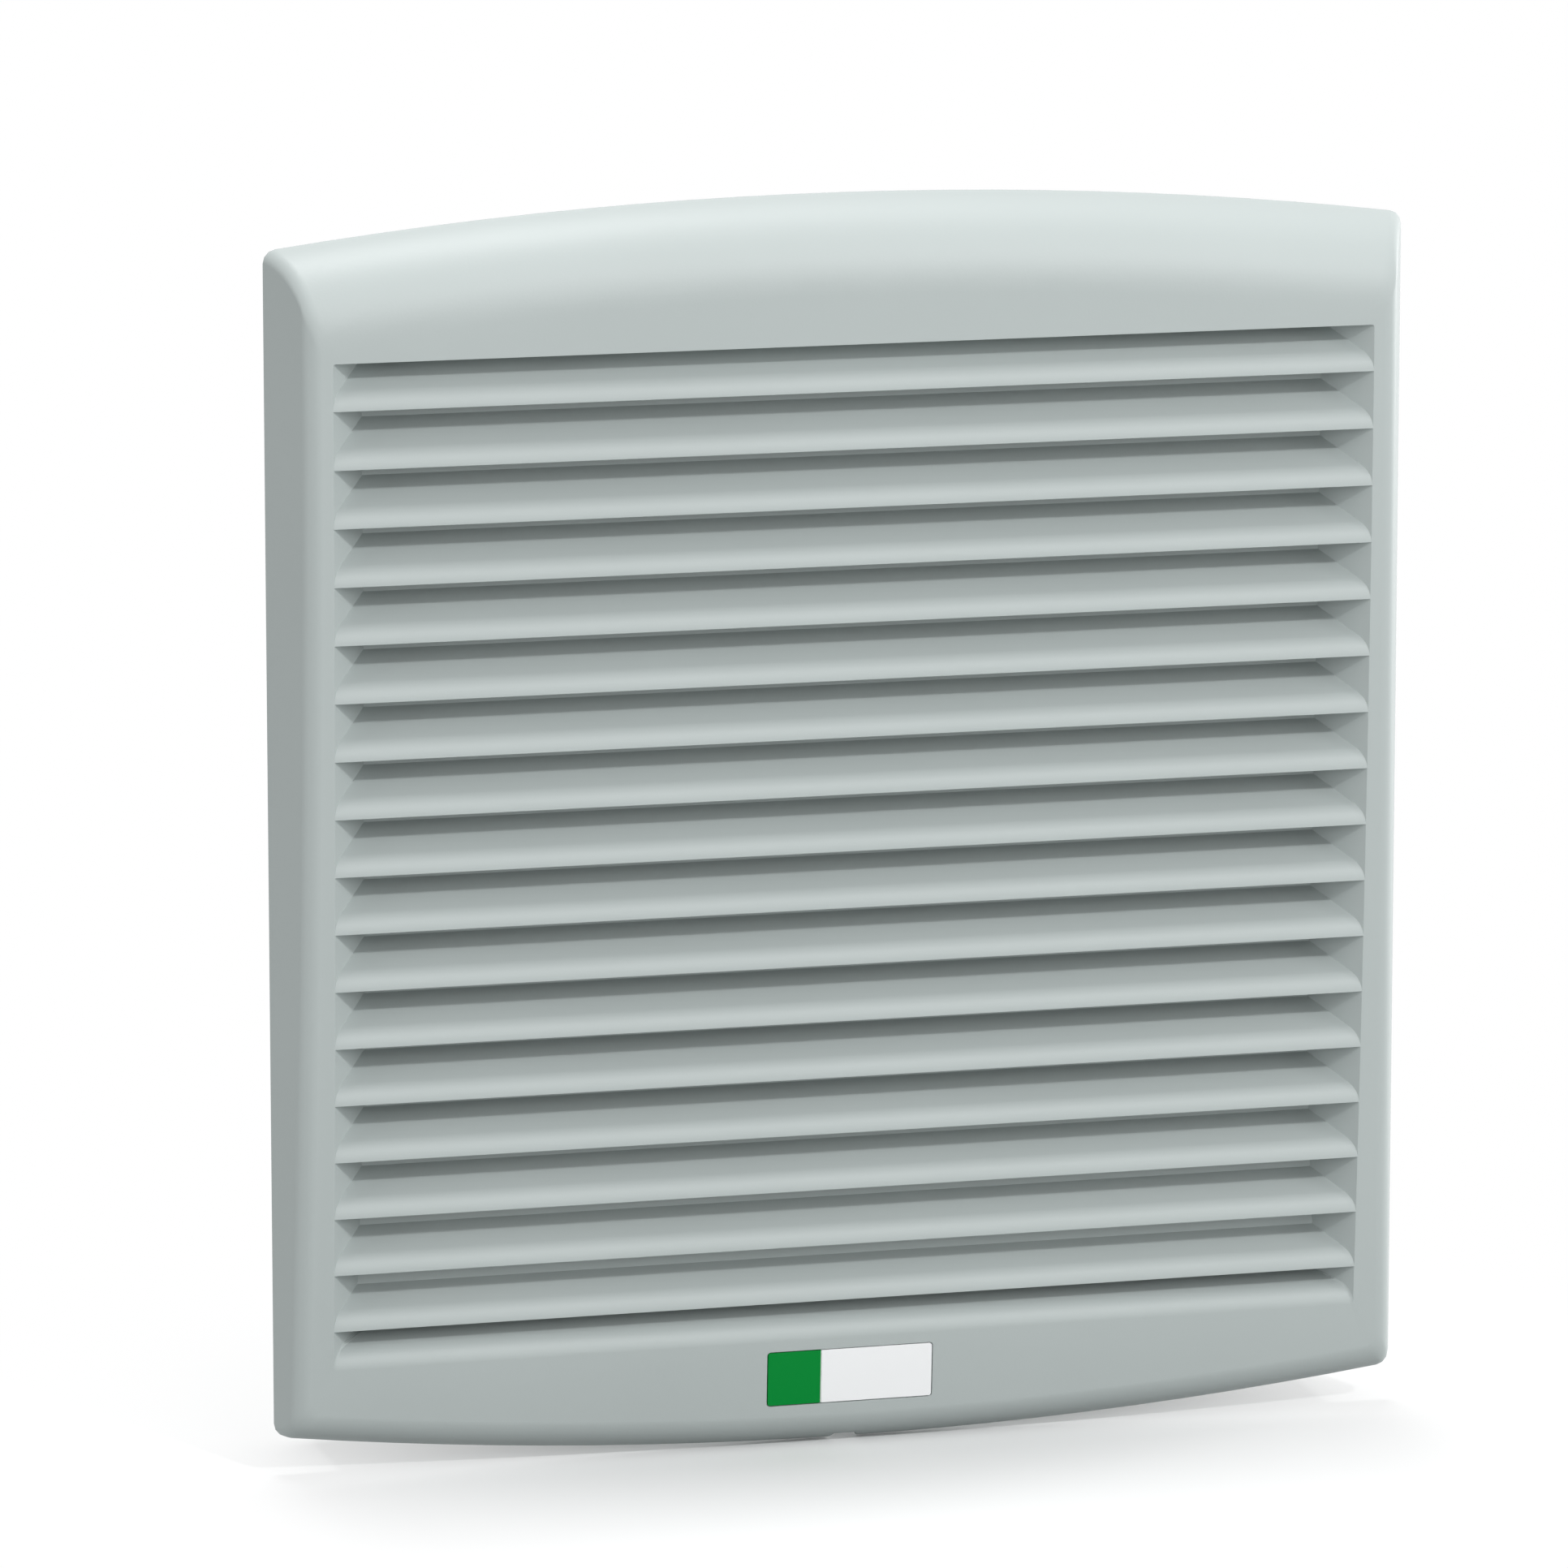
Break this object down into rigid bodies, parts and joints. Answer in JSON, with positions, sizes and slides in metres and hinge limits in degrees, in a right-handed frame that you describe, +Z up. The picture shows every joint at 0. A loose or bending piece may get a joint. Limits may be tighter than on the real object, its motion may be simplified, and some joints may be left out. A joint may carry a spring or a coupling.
{
  "type": "cabinet filter fan",
  "caption": "Louvred wall fan for an electrical cabinet: arched grey cover, filter mat in a square panel frame, and an axial fan on a hood behind it.",
  "frame": {"origin": "middle of the panel cut-out on the panel's outer face, at the middle of the four panel screw holes", "axes": "+X right and +Z up seen from the front, +Y into the cabinet; the louvred front faces -Y"},
  "size_m": [0.248, 0.1111, 0.268],
  "materials": {
    "light_grey_plastic": "fine moulded texture",
    "frame_plastic": "moulded",
    "label": "bare two-tone plate",
    "gasket": "foamed",
    "spring_steel": "bare",
    "filter_fibre": "matted fibre",
    "zinc_steel": "zinc plated",
    "black_aluminium": "matt black paint on die casting",
    "lamination_steel": "stacked sheet",
    "copper": "enamelled wire",
    "bearing_steel": "ground",
    "black_plastic": "moulded",
    "cage_aluminium": "cast",
    "washer_plastic": "moulded",
    "chromed_wire": "bright plated",
    "terminal_plastic": "moulded",
    "brass": "bright"
  },
  "bodies": {
    "frame": {"base_frame": "frame_plastic", "panel_gasket": "gasket", "panel_clips": "spring_steel", "filter_mat": "filter_fibre", "filter_support_grid": "frame_plastic", "fan_hood": "frame_plastic", "hood_screws": "zinc_steel", "fan_housing": "black_aluminium", "motor_bracket": "black_aluminium", "stator_core": "lamination_steel", "stator_windings": "copper", "front_bearing": "bearing_steel", "rear_bearing": "bearing_steel", "finger_guard": "chromed_wire", "fan_screws": "zinc_steel", "terminal_block": "terminal_plastic", "terminal_screws": "brass", "earth_tab": "brass", "earth_screw": "brass"},
    "cover": {"cover_shell": "light_grey_plastic", "louvre_blades": "light_grey_plastic", "label_plate": "label"},
    "rotor": {"impeller": "black_plastic", "rotor_can": "zinc_steel", "rotor_cage": "cage_aluminium", "rotor_shaft": "bearing_steel", "thrust_washer": "washer_plastic", "retaining_ring": "spring_steel"}
  },
  "joints": [
    {"name": "cover_slide", "type": "slide", "parent": "frame", "child": "cover", "axis": [0, -1, 0], "range_m": [0, 0.07]},
    {"name": "impeller_spin", "type": "hinge", "parent": "frame", "child": "rotor", "pos_m": [0, 0.06, 0], "axis": [0, 1, 0], "continuous": true}
  ]
}
